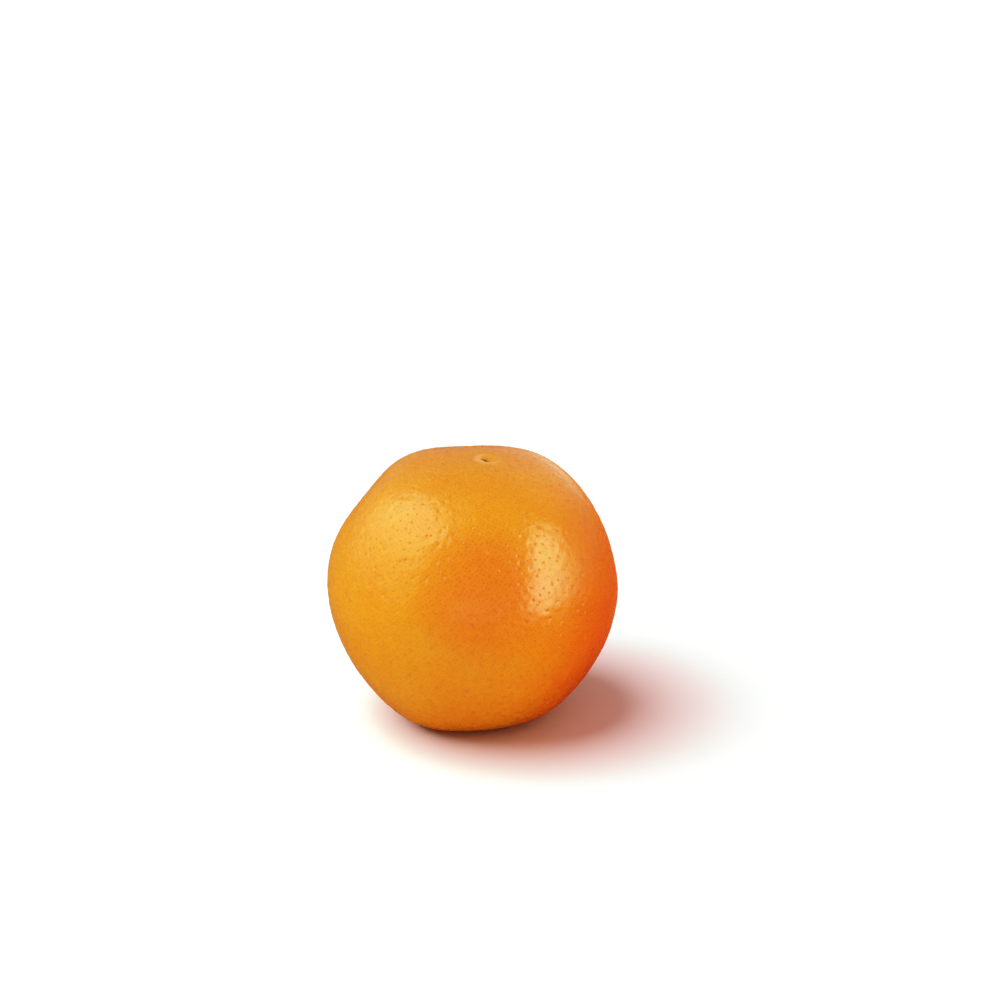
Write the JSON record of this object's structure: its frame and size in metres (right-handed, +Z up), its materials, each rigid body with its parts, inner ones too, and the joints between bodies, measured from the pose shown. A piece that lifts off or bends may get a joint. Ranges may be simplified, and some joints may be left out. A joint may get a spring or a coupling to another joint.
{
  "type": "sweet orange",
  "caption": "Whole sweet orange in its pebbled rind, standing on its stem end, with a small blossom scar on top and the calyx button in the stem cavity below.",
  "frame": {"origin": "bottom centre of the bounding box, on the surface the orange stands on", "axes": "+Z up through the blossom end, -Y towards the side shown in the picture, +X to that side's right"},
  "size_m": [0.076, 0.0764, 0.0706],
  "materials": {
    "fruit": "waxy, finely pitted",
    "calyx": "dry, matt"
  },
  "bodies": {
    "root": {"fruit": "fruit", "calyx": "calyx"}
  },
  "joints": []
}
